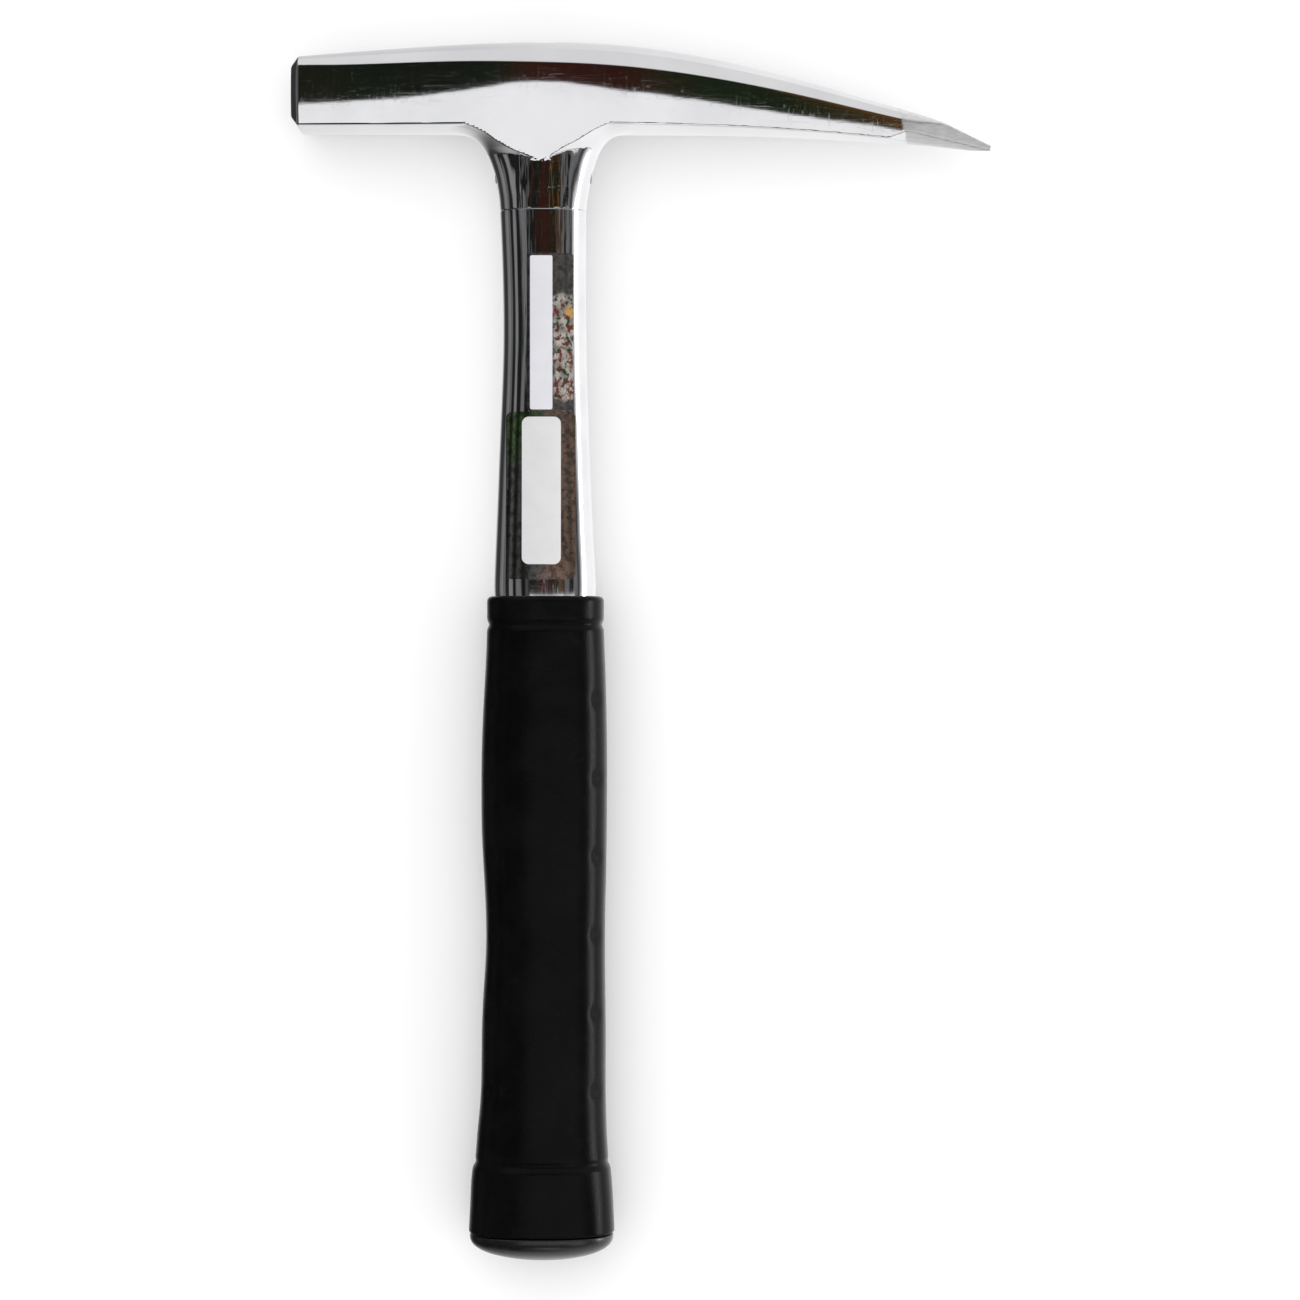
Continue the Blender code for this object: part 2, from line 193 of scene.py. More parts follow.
# ------------------------------------------------------------------ node material helpers
class Nodes:
    """A small shorthand for building a Principled material out of nodes."""

    def __init__(self, name, colour, metallic, roughness, **sockets):
        self.mat = bpy.data.materials.new(name)
        self.mat.use_nodes = True
        self.mat.diffuse_color = (*colour, 1.0)
        self.tree = self.mat.node_tree
        self.bsdf = self.tree.nodes["Principled BSDF"]
        self.set("Base Color", (*colour, 1.0))
        self.set("Metallic", metallic)
        self.set("Roughness", roughness)
        for key, value in sockets.items():
            self.set(key.replace("_", " "), value)
        self.coord = self.tree.nodes.new("ShaderNodeTexCoord").outputs["Object"]
        split = self.tree.nodes.new("ShaderNodeSeparateXYZ")
        self.link(self.coord, split.inputs[0])
        self.x, self.y, self.z = split.outputs

    def set(self, key, value):
        self.bsdf.inputs[key].default_value = value

    def link(self, a, b):
        self.tree.links.new(a, b)

    def feed(self, socket, value):
        if hasattr(value, "is_linked") or hasattr(value, "links"):
            self.link(value, socket)
        else:
            socket.default_value = value

    def math(self, op, a, b=0.0, c=0.0, clamp=False):
        node = self.tree.nodes.new("ShaderNodeMath")
        node.operation = op
        node.use_clamp = clamp
        for socket, value in zip(node.inputs, (a, b, c)):
            self.feed(socket, value)
        return node.outputs[0]

    def stretch(self, sx, sy, sz, turn=(0.0, 0.0, 0.0)):
        node = self.tree.nodes.new("ShaderNodeMapping")
        node.inputs["Scale"].default_value = (sx, sy, sz)
        node.inputs["Rotation"].default_value = turn
        self.link(self.coord, node.inputs["Vector"])
        return node.outputs[0]

    def noise(self, scale, detail=2.0, rough=0.5, vector=None, distortion=0.0):
        node = self.tree.nodes.new("ShaderNodeTexNoise")
        node.inputs["Scale"].default_value = scale
        node.inputs["Detail"].default_value = detail
        node.inputs["Roughness"].default_value = rough
        node.inputs["Distortion"].default_value = distortion
        self.link(vector or self.coord, node.inputs["Vector"])
        return node.outputs["Fac"]

    def voronoi(self, scale, feature="F1", vector=None, randomness=1.0):
        node = self.tree.nodes.new("ShaderNodeTexVoronoi")
        node.feature = feature
        node.inputs["Scale"].default_value = scale
        node.inputs["Randomness"].default_value = randomness
        self.link(vector or self.coord, node.inputs["Vector"])
        return node.outputs["Distance"]

    def span(self, value, a, b, lo=0.0, hi=1.0, kind="SMOOTHSTEP"):
        """Maps value from a..b to lo..hi, clamped."""
        node = self.tree.nodes.new("ShaderNodeMapRange")
        node.interpolation_type = kind
        node.inputs["From Min"].default_value = a
        node.inputs["From Max"].default_value = b
        node.inputs["To Min"].default_value = lo
        node.inputs["To Max"].default_value = hi
        self.link(value, node.inputs["Value"])
        return node.outputs["Result"]

    def mix(self, fac, a, b):
        node = self.tree.nodes.new("ShaderNodeMix")
        node.data_type = "RGBA"
        self.feed(node.inputs[0], fac)
        self.feed(node.inputs[6], a)
        self.feed(node.inputs[7], b)
        return node.outputs[2]

    def bump(self, height, distance, strength=1.0, under=None):
        node = self.tree.nodes.new("ShaderNodeBump")
        node.inputs["Strength"].default_value = strength
        node.inputs["Distance"].default_value = distance
        self.link(height, node.inputs["Height"])
        if under is not None:
            self.link(under, node.inputs["Normal"])
        return node.outputs[0]

    def out(self, key, value):
        self.link(value, self.bsdf.inputs[key])


def at(x=None, y=None):
    """A handle coordinate in millimetres as an object coordinate in metres."""
    return (x + SHIFT[0]) * MM if x is not None else (y + SHIFT[1]) * MM


def scratches(n, scale, turn, width=0.02):
    """Thin random lines, nearly all running one way."""
    field = n.noise(1.0, 1.0, 0.4, n.stretch(*scale, turn=turn))
    away = n.math("ABSOLUTE", n.math("SUBTRACT", field, 0.5))
    return n.span(away, 0.0, width, 1.0, 0.0)


def polished_steel():
    n = Nodes("polished_steel", (0.70, 0.70, 0.71), 1.0, 0.10)
    cloud = n.noise(45.0, 3.0, 0.55)
    lines = n.noise(1.0, 3.0, 0.6, n.stretch(90.0, 2600.0, 2600.0))
    fine = scratches(n, (60.0, 900.0, 700.0), (0.0, 0.0, 0.35))
    cross = scratches(n, (700.0, 50.0, 500.0), (0.0, 0.0, -0.25), 0.012)
    # the pick's point is left as ground, across its facets
    slant = n.math("MULTIPLY_ADD", n.math("SUBTRACT", n.y, at(y=307.0)), 0.30, n.x)
    tip = n.span(slant, at(x=96.6), at(x=97.8))
    grind = n.noise(1.0, 3.0, 0.7, n.stretch(150.0, 2000.0, 2000.0, (0.0, 0.0, 0.42)))
    # the striking face is faced off and a little scuffed
    face = n.span(n.x, at(x=-68.35), at(x=-68.0), 1.0, 0.0)
    rough = n.math("MULTIPLY_ADD", cloud, 0.025, 0.022)
    rough = n.math("MULTIPLY_ADD", lines, 0.02, rough)
    rough = n.math("MULTIPLY_ADD", fine, 0.07, rough)
    rough = n.math("MULTIPLY_ADD", cross, 0.06, rough)
    rough = n.math("MULTIPLY_ADD", face, 0.16, rough)
    ground = n.math("MULTIPLY_ADD", grind, 0.16, 0.24)
    rough = n.math("ADD", n.math("MULTIPLY", rough, n.math("SUBTRACT", 1.0, tip)), n.math("MULTIPLY", ground, tip))
    n.out("Roughness", rough)
    tone = n.mix(n.span(cloud, 0.3, 0.7), (0.66, 0.66, 0.675, 1.0), (0.72, 0.72, 0.73, 1.0))
    n.out("Base Color", n.mix(tip, tone, n.mix(n.span(grind, 0.3, 0.7), (0.60, 0.60, 0.60, 1.0), (0.74, 0.74, 0.74, 1.0))))
    wave = n.bump(n.noise(38.0, 1.0, 0.4), 0.00006, 1.0)
    wave = n.bump(n.noise(120.0, 2.0, 0.5), 0.000010, 1.0, wave)
    # the neck is drawn down under the cheeks and keeps fine upright ripples
    ripple = n.noise(1.0, 2.0, 0.45, n.stretch(560.0, 60.0, 300.0, (0.0, 0.0, -0.10)))
    below = n.math("MULTIPLY_ADD", n.math("ABSOLUTE", n.math("SUBTRACT", n.x, at(x=-0.5))), -0.4, n.math("SUBTRACT", n.y, at(y=297.8)))
    drawn = n.math("MULTIPLY", n.span(below, -0.0008, 0.0004, 1.0, 0.0), n.math("MULTIPLY", n.span(n.x, at(x=-9.0), at(x=-6.0)), n.span(n.x, at(x=6.0), at(x=9.0), 1.0, 0.0)))
    wave = n.bump(n.math("MULTIPLY", ripple, drawn), 0.00024, 1.0, wave)
    wave = n.bump(lines, 0.0000012, 1.0, wave)
    grooves = n.math("MULTIPLY", grind, n.math("MAXIMUM", tip, n.math("MULTIPLY", face, 0.5)))
    n.out("Normal", n.bump(grooves, 0.000012, 1.0, wave))
    return n.mat


def chromed_tube():
    n = Nodes("chromed_tube", (0.68, 0.68, 0.70), 1.0, 0.09)
    cloud = n.noise(60.0, 3.0, 0.55)
    lines = n.noise(1.0, 3.0, 0.6, n.stretch(2400.0, 60.0, 2400.0))
    fine = scratches(n, (800.0, 40.0, 800.0), (0.0, 0.0, 0.06))
    wrap = scratches(n, (80.0, 1500.0, 80.0), (0.0, 0.0, 0.15), 0.010)
    rough = n.math("MULTIPLY_ADD", cloud, 0.03, 0.03)
    rough = n.math("MULTIPLY_ADD", lines, 0.02, rough)
    rough = n.math("MULTIPLY_ADD", fine, 0.06, rough)
    rough = n.math("MULTIPLY_ADD", wrap, 0.06, rough)
    n.out("Roughness", rough)
    n.out("Base Color", n.mix(n.span(cloud, 0.3, 0.7), (0.64, 0.64, 0.66, 1.0), (0.70, 0.70, 0.715, 1.0)))
    draw = n.noise(1.0, 2.0, 0.5, n.stretch(420.0, 16.0, 420.0))
    wave = n.bump(draw, 0.00005, 1.0)
    ripple = n.noise(1.0, 2.0, 0.45, n.stretch(560.0, 55.0, 300.0))
    upper = n.math("MULTIPLY", n.span(n.y, at(y=222.0), at(y=262.0)), n.span(n.x, at(x=-6.5), at(x=-3.0)))
    wave = n.bump(n.math("MULTIPLY", ripple, n.math("MULTIPLY", upper, n.span(n.x, at(x=6.0), at(x=9.0), 1.0, 0.0))), 0.00022, 1.0, wave)
    n.out("Normal", n.bump(lines, 0.0000015, 1.0, wave))
    return n.mat


def plain_steel():
    n = Nodes("plain_steel", (0.42, 0.42, 0.43), 1.0, 0.33)
    cloud = n.noise(350.0, 4.0, 0.6)
    grind = n.noise(1.0, 3.0, 0.7, n.stretch(300.0, 900.0, 3200.0))
    n.out("Roughness", n.math("MULTIPLY_ADD", grind, 0.2, 0.24))
    n.out("Base Color", n.mix(n.span(cloud, 0.35, 0.7), (0.46, 0.46, 0.47, 1.0), (0.30, 0.28, 0.26, 1.0)))
    n.out("Normal", n.bump(grind, 0.00002))
    return n.mat


def hardwood():
    n = Nodes("hardwood", (0.48, 0.31, 0.17), 0.0, 0.65)
    grain = n.noise(1.0, 4.0, 0.6, n.stretch(900.0, 40.0, 900.0))
    n.out("Base Color", n.mix(n.span(grain, 0.3, 0.7), (0.33, 0.19, 0.09, 1.0), (0.56, 0.38, 0.21, 1.0)))
    n.out("Roughness", n.math("MULTIPLY_ADD", grain, 0.2, 0.55))
    n.out("Normal", n.bump(grain, 0.00008))
    return n.mat


def black_rubber():
    n = Nodes("black_rubber", (0.004, 0.004, 0.0045), 0.0, 0.30, Specular_IOR_Level=0.06)
    cells = n.voronoi(2600.0)
    pores = n.noise(3800.0, 2.0, 0.6)
    cloud = n.noise(70.0, 4.0, 0.6)
    scuff = n.span(n.noise(150.0, 6.0, 0.75), 0.52, 0.85)
    n.out("Base Color", n.mix(scuff, n.mix(n.span(cloud, 0.35, 0.7), (0.002, 0.002, 0.0023, 1.0), (0.0035, 0.0035, 0.0038, 1.0)), (0.0055, 0.0055, 0.0055, 1.0)))
    rough = n.math("MULTIPLY_ADD", cloud, 0.12, 0.18)
    n.out("Roughness", n.math("MULTIPLY_ADD", scuff, 0.12, rough))
    skin = n.bump(cells, 0.00004, 0.7)
    n.out("Normal", n.bump(pores, 0.00002, 0.6, skin))
    return n.mat


def black_plastic():
    n = Nodes("black_plastic", (0.006, 0.006, 0.0065), 0.0, 0.30)
    cloud = n.noise(180.0, 4.0, 0.6)
    grain = n.noise(3000.0, 2.0, 0.5)
    scuff = n.span(n.noise(500.0, 5.0, 0.75), 0.56, 0.75)
    n.out("Base Color", n.mix(scuff, (0.006, 0.006, 0.0065, 1.0), (0.022, 0.022, 0.022, 1.0)))
    n.out("Roughness", n.math("MULTIPLY_ADD", scuff, 0.25, n.math("MULTIPLY_ADD", cloud, 0.15, 0.2)))
    n.out("Normal", n.bump(grain, 0.00002, 0.7))
    return n.mat


def rounded_box(n, cx, cy, hx, hy, r):
    """Signed distance in metres to a rounded rectangle on the front of the handle, in nodes."""
    qx = n.math("SUBTRACT", n.math("ABSOLUTE", n.math("SUBTRACT", n.x, at(x=cx))), (hx - r) * MM)
    qy = n.math("SUBTRACT", n.math("ABSOLUTE", n.math("SUBTRACT", n.y, at(y=cy))), (hy - r) * MM)
    px, py = n.math("MAXIMUM", qx, 0.0), n.math("MAXIMUM", qy, 0.0)
    outside = n.math("SQRT", n.math("MULTIPLY_ADD", px, px, n.math("MULTIPLY", py, py)))
    inside = n.math("MINIMUM", n.math("MAXIMUM", qx, qy), 0.0)
    return n.math("SUBTRACT", n.math("ADD", outside, inside), r * MM)


def label_film(name, panel, ground_and_reflection_tones, white, flank=None):
    """Printed foil: a white panel with rounded corners on a dark, glossy ground, with nothing
    written on it. The three ground tones are for its left, its right and its upper left; the left
    one is the foil's own grey, the right and upper-left ones are painted reflection tints. A
    flank is a box beside the panel with a pale, speckled print."""
    n = Nodes(name, (0.80, 0.80, 0.82), 0.0, 0.30, Coat_Weight=0.3, Coat_Roughness=0.12)
    edge = rounded_box(n, *panel)
    inside = n.span(edge, -0.00012, 0.00006, 1.0, 0.0)
    # painted reflection: the ground turns from its own left tone to the right tone, a painted warm reflection tint on
    # that side
    reflection_side = n.span(n.x, at(x=panel[0] - 2.0), at(x=panel[0] + 3.0))
    dark = n.mix(reflection_side, ground_and_reflection_tones[0], ground_and_reflection_tones[1])
    # painted reflection: the upper left of the ground takes the third tone, a painted reflection tint (green on the
    # lower label)
    high = n.math("MULTIPLY", n.span(n.y, at(y=213.0), at(y=221.0)), n.span(n.x, at(x=-2.0), at(x=1.5), 1.0, 0.0))
    dark = n.mix(high, dark, ground_and_reflection_tones[2])
    mottle = n.noise(520.0, 4.0, 0.65)
    dark = n.mix(n.span(mottle, 0.42, 0.62, 0.0, 0.75), dark, (0.05, 0.05, 0.05, 1.0))
    paper = n.mix(n.span(n.noise(160.0, 3.0, 0.6), 0.3, 0.75), white, tuple(v * 0.95 for v in white[:3]) + (1.0,))
    ink = 0.0
    if flank:
        pale = n.mix(n.span(n.noise(420.0, 3.0, 0.6), 0.35, 0.7), (0.17, 0.155, 0.14, 1.0), (0.42, 0.38, 0.34, 1.0))
        chips = n.noise(760.0, 3.0, 0.65, n.stretch(1.0, 0.8, 1.0, (0.0, 0.0, 0.5)))
        hue = n.mix(n.span(n.noise(300.0, 1.0, 0.5), 0.46, 0.54), (0.10, 0.022, 0.015, 1.0), (0.018, 0.035, 0.016, 1.0))
        pale = n.mix(n.span(chips, 0.47, 0.56), pale, hue)
        far_x, far_y = n.math("SUBTRACT", n.x, at(x=7.2)), n.math("SUBTRACT", n.y, at(y=256.6))
        spot = n.math("SQRT", n.math("MULTIPLY_ADD", far_x, far_x, n.math("MULTIPLY", far_y, far_y)))
        pale = n.mix(n.span(n.math("MULTIPLY_ADD", chips, 0.0042, spot), 0.0026, 0.0040, 0.85, 0.0), pale, (0.46, 0.26, 0.06, 1.0))
        wavy = n.math("MULTIPLY_ADD", n.math("SUBTRACT", n.noise(300.0, 3.0, 0.7), 0.5), 0.0052, rounded_box(n, *flank))
        ink = n.math("MULTIPLY", n.span(wavy, -0.0007, 0.0005, 1.0, 0.0), n.math("SUBTRACT", 1.0, inside))
        dark = n.mix(ink, dark, pale)
    n.out("Base Color", n.mix(inside, dark, paper))
    n.out("Metallic", n.math("SUBTRACT", n.math("SUBTRACT", 1.0, inside), ink))
    rough = n.math("MULTIPLY_ADD", mottle, 0.16, 0.10)
    n.out("Roughness", n.math("MULTIPLY_ADD", inside, 0.14, rough))
    step = n.bump(inside, 0.00003, 0.6)
    n.out("Normal", n.bump(n.noise(900.0, 3.0, 0.6), 0.00001, 0.6, step))
    return n.mat


STEEL, CHROME, PLAIN = polished_steel(), chromed_tube(), plain_steel()
WOOD, RUBBER, PLASTIC = hardwood(), black_rubber(), black_plastic()
LABEL_A = label_film(
    "label_film_upper",
    (-0.75, 251.0, 3.06, 20.8, 0.5),
    # ground tones: own grey on the left, a faintly warm painted reflection tint on the right, own grey at the upper
    # left
    ((0.36, 0.36, 0.37, 1.0), (0.36, 0.34, 0.33, 1.0), (0.36, 0.36, 0.37, 1.0)),
    (0.70, 0.70, 0.74, 1.0),
    (5.4, 247.0, 3.2, 14.2, 1.0),
)
LABEL_B = label_film(
    "label_film_lower",
    (-0.7, 208.4, 5.3, 19.9, 1.9),
    # ground tones: own dark grey on the left, a warm painted reflection tint on the right, a green painted reflection
    # tint at the upper left
    ((0.26, 0.26, 0.25, 1.0), (0.52, 0.36, 0.28, 1.0), (0.20, 0.34, 0.14, 1.0)),
    (0.68, 0.68, 0.69, 1.0),
)

# ------------------------------------------------------------------ the forged head
TOP = Curve((-80, 324.5), (-70, 325.55), (-40, 328.15), (-10, 329.75), (4, 330.0), (30, 328.25), (60, 322.6), (85, 315.75), (105, 309.85), (130, 302.6))
BOTTOM = Curve((-80, 306.6), (-20, 306.6), (10, 306.6), (40, 306.4), (60, 305.85), (80, 304.75), (100, 303.1), (120, 300.6), (130, 299.1))
HALF = Curve((-80, 9.9), (-70, 10.0), (-45, 10.55), (-20, 11.8), (0, 12.55), (20, 12.0), (50, 9.7), (80, 6.9), (100, 4.95), (130, 1.9))
RIDGE = Curve((-80, 318.0), (-58, 318.6), (-41, 319.8), (-22, 322.0), (-3, 324.2), (10, 323.4), (23, 321.6), (41, 319.7), (58.5, 316.9), (77.5, 314.4), (88, 313.0), (98, 311.2), (115, 307.0), (130, 302.8))
TOP_R = Curve((-80, 2.0), (-68, 2.6), (-55, 3.8), (-40, 4.7), (-20, 5.6), (0, 6.8), (20, 7.0), (45, 6.6), (70, 5.4), (90, 4.1), (105, 2.8), (130, 1.4))
BOTTOM_R = Curve((-80, 0.6), (-20, 0.65), (30, 0.65), (70, 0.6), (130, 0.45))
NECK_L = Curve((280, 12.0), (284.6, 12.2), (288, 12.45), (291, 12.9), (294, 13.5), (297, 14.4), (299.5, 15.4), (302, 16.9), (304.2, 19.0), (306, 21.9), (307.4, 25.2), (309.6, 31.5), (313, 42.0))
NECK_R = Curve((280, 11.1), (284.6, 11.2), (288, 11.6), (291, 12.1), (294, 12.75), (297, 13.5), (299.5, 14.35), (302, 15.6), (304.2, 17.4), (306, 20.0), (307.4, 23.2), (309.6, 29.5), (313, 40.0))
NECK_B = Steady((280, 9.36), (284.6, 9.38), (291, 9.43), (297.3, 9.48), (297.5, 9.68), (298.1, 10.6), (299.0, 12.1), (300.5, 14.2), (302.0, 16.0), (303.7, 18.6), (305.6, 22.6), (307.4, 27.6), (309.6, 31.0), (313, 35.0))
NECK_P = Steady((280, 2.5), (284.6, 2.5), (291, 2.45), (294.5, 2.35), (298.8, 2.25), (302, 2.2), (313, 2.2))
CROWN = 115.0
TIP = (121.6, 301.7)


def round_meet(a, b, r):
    """Where two surfaces meet at an outside edge, with a rolled edge of radius r."""
    u, v = np.maximum(a + r, 0.0), np.maximum(b + r, 0.0)
    return np.minimum(np.maximum(a, b), -r) + np.sqrt(u * u + v * v)


def soft_join(a, b, k):
    """The union of two forms, with a small fillet where k is more than nothing."""
    k = np.maximum(k, 1e-6)
    h = np.maximum(k - np.abs(a - b), 0.0) / k
    return np.minimum(a, b) - h * h * k / 4


def superoval(x, z, left, right, half, power):
    a, cx = (left + right) / 2, (right - left) / 2
    n = (np.abs((x - cx) / a) ** power + np.abs(z / half) ** power) ** (1 / power)
    return (n - 1.0) * np.minimum(a, half)


def neck_side(p):
    """The neck's outer surface; it turns up into the cheeks along a shallow V."""
    x, y, z = p[..., 0], p[..., 1], p[..., 2]
    out = x + 0.6
    reach = np.sqrt(out * out + 1.4) - math.sqrt(1.4)
    vee = np.where(out > 0, 0.84, 0.49) * reach / (1 + reach / 8.0)
    return superoval(x, z, NECK_L(y), NECK_R(y), NECK_B(y - vee), NECK_P(y))


def head_form(p):
    """Negative inside the head, in handle millimetres."""
    x, y, z = p[..., 0], p[..., 1], p[..., 2]
    az = np.abs(z)
    top, bottom, half = TOP(x), BOTTOM(x), HALF(x)
    cheek = az - (half - (np.maximum(y, 297.4) - RIDGE(x)) ** 2 / (2 * CROWN)) - 0.12 * np.maximum(297.4 - y, 0.0)
    over = y - top + z * z / 260.0
    under = bottom - y + z * z / 420.0
    bar = round_meet(cheek, over, TOP_R(x))
    bar = round_meet(bar, under, BOTTOM_R(x))
    # square face with its chamfer
    middle = 316.2
    face = FACE_X - x + ((y - middle) ** 2 + z * z) / 700.0
    chamfer = (face / 1.9 + bar / 2.8 + 1.0) / math.hypot(1 / 1.9, 1 / 2.8)
    bar = round_meet(round_meet(bar, chamfer, 0.35), face, 0.3)
    # four ground facets that run out to the point
    dx = x - TIP[0]
    facet_top = (y - TIP[1] + 0.45 * dx - 0.75) / math.hypot(1, 0.45)
    facet_side = (az + 0.20 * dx - 0.42 + 0.07 * (305.0 - y)) / math.hypot(1, 0.20)
    facet_low = 0.77 * (TIP[1] - 0.4 - 0.195 * dx - y) + 0.638 * (az - 0.42 + 0.20 * dx) - 0.35 * np.maximum(0.0, -23.8 - dx)
    bar = round_meet(bar, facet_top, 0.25)
    bar = round_meet(bar, facet_side, 0.25)
    bar = round_meet(bar, facet_low, 0.2)
    bar = round_meet(bar, dx, 0.55)
    # neck that runs down to the tube
    neck = neck_side(p)
    neck = round_meet(neck, cheek, 0.12)
    neck = round_meet(neck, 284.56 - y, 0.04)
    neck = np.maximum(neck, y - 312.0)
    depth = smoothstep(-cheek, 0.2, 3.0)
    form = soft_join(bar, neck, 2.4 * depth)
    # eye and pin hole
    eye = superoval(x, z, 9.8 + 0.05 * np.maximum(y - 325, 0), 9.8 + 0.05 * np.maximum(y - 325, 0), 7.3 + 0.05 * np.maximum(y - 325, 0), 2.5)
    form = round_meet(form, -eye, 0.35)
    pin = np.hypot(y - 294.0, z) - 1.95
    return round_meet(form, -pin, 0.15)


def gradient(form, p, eps=0.02):
    g = np.empty_like(p)
    for axis in range(3):
        step = np.zeros(3)
        step[axis] = eps
        g[..., axis] = (form(p + step) - form(p - step)) / (2 * eps)
    return g


def skin(form, lo, hi, pitch, relax=4):
    """Wraps a form in even quads: one point in each cell that the surface crosses, then each point
    is slid along the surface to even the quads out and dropped back on to it."""
    lo, hi = np.array(lo, float), np.array(hi, float)
    size = np.ceil((hi - lo) / pitch).astype(int) + 1
    axes = [lo[k] + pitch * np.arange(size[k]) for k in range(3)]
    value = np.empty(size, np.float32)
    yz = np.stack(np.meshgrid(axes[1], axes[2], indexing="ij"), axis=-1)
    for start in range(0, size[0], 24):
        xs = axes[0][start : start + 24]
        block = np.empty((len(xs),) + yz.shape[:2] + (3,))
        block[..., 0] = xs[:, None, None]
        block[..., 1:] = yz[None]
        value[start : start + 24] = form(block)
    inside = value < 0
    count = np.zeros(size - 1, np.int8)
    corners = [(i, j, k) for i in (0, 1) for j in (0, 1) for k in (0, 1)]
    nx, ny, nz = size - 1
    for i, j, k in corners:
        count += inside[i : i + nx, j : j + ny, k : k + nz]
    active = (count > 0) & (count < 8)
    index = np.full(active.shape, -1, np.int64)
    cells = np.argwhere(active)
    index[active] = np.arange(len(cells))
    total = np.zeros((len(cells), 3))
    hits = np.zeros(len(cells))
    for c in corners:
        for axis in range(3):
            if c[axis]:
                continue
            d = list(c)
            d[axis] = 1
            a = value[tuple((cells + c).T)]
            b = value[tuple((cells + d).T)]
            cross = (a < 0) != (b < 0)
            t = np.where(cross, a / np.where(cross, a - b, 1.0), 0.0)
            point = cells + np.array(c, float)
            point[:, axis] += t
            total += point * cross[:, None]
            hits += cross
    verts = lo + pitch * total / hits[:, None]
    quads = []
    for axis in range(3):
        u, v = (axis + 1) % 3, (axis + 2) % 3
        first = [slice(None)] * 3
        second = [slice(None)] * 3
        first[axis], second[axis] = slice(0, -1), slice(1, None)
        a, b = inside[tuple(first)], inside[tuple(second)]
        where = np.argwhere(a != b)
        keep = (where[:, u] > 0) & (where[:, v] > 0) & (where[:, u] < size[u] - 1) & (where[:, v] < size[v] - 1)
        where = where[keep]
        out = a[tuple(where.T)]
        du, dv = np.zeros(3, int), np.zeros(3, int)
        du[u], dv[v] = 1, 1
        ring = [index[tuple((where - s).T)] for s in (du + dv, dv, np.zeros(3, int), du)]
        quad = np.stack(ring, axis=1)
        quad[~out] = quad[~out][:, ::-1]
        quads.append(quad)
    quads = np.concatenate(quads)
    edges = np.concatenate([quads[:, [i, (i + 1) % 4]] for i in range(4)])

    def settle(points, rounds):
        for _ in range(rounds):
            f = form(points)
            g = gradient(form, points)
            move = g * (f / np.maximum((g * g).sum(1), 1e-6))[:, None]
            length = np.linalg.norm(move, axis=1, keepdims=True)
            points = points - move * np.minimum(1.0, 0.5 * pitch / np.maximum(length, 1e-9))
        return points

    verts = settle(verts, 3)
    for _ in range(relax):
        mean = np.zeros_like(verts)
        degree = np.zeros(len(verts))
        for k in (0, 1):
            np.add.at(mean, edges[:, k], verts[edges[:, 1 - k]])
            np.add.at(degree, edges[:, k], 1.0)
        mean /= degree[:, None]
        shift = (mean - verts) * 0.5
        g = gradient(form, verts)
        g /= np.maximum(np.linalg.norm(g, axis=1, keepdims=True), 1e-9)
        shift -= g * (shift * g).sum(1, keepdims=True)
        verts = settle(verts + shift, 1)
    verts = settle(verts, 2)
    g = gradient(form, verts, 0.03)
    g /= np.maximum(np.linalg.norm(g, axis=1, keepdims=True), 1e-9)
    return verts, quads, g


pitch = 0.5
verts, quads, normals = skin(head_form, (-70.3, 282.9, -14.1), (123.3, 331.9, 14.15), pitch)
# the neck's side runs straight out to its end
side = neck_side(verts)
low = (verts[:, 1] < 285.3) & (side > -0.35)
run = gradient(neck_side, verts[low])
normals[low] = run / np.linalg.norm(run, axis=1, keepdims=True)
head = mesh_piece("head_polished", verts, quads, STEEL, ["forged_head"], normals)

# ------------------------------------------------------------------ the tube
TUBE_ROWS = {
    "left": Curve((160, 12.2), (168, 12.45), (174, 13.1), (181, 13.78), (186, 13.72), (194, 13.4), (204, 12.98), (214, 12.6), (228, 12.02), (240, 11.55), (250, 11.33), (262, 11.42), (275, 11.8), (284, 12.2)),
    "right": Curve((160, 12.2), (168, 12.45), (174, 13.1), (181, 13.78), (186, 13.68), (194, 13.22), (204, 12.72), (214, 12.28), (228, 11.78), (240, 11.42), (250, 11.24), (262, 11.14), (275, 11.14), (284, 11.2)),
    "half": Curve((160, 10.0), (168, 10.5), (174, 10.93), (178, 11.1), (181, 11.07), (184, 10.99), (188, 10.87), (194, 10.65), (204, 10.25), (214, 9.98), (228, 9.71), (240, 9.56), (250, 9.48), (262, 9.43), (275, 9.4), (284, 9.38), (286, 9.38)),
}
TUBE_POWER = 2.5


def tube_outer(y):
    if y > 284.395:
        return 9.5, 9.5, 7.0
    if y < 160.0:
        return 12.1, 12.1, 10.0
    return tuple(float(TUBE_ROWS[k](y)) for k in ("left", "right", "half"))


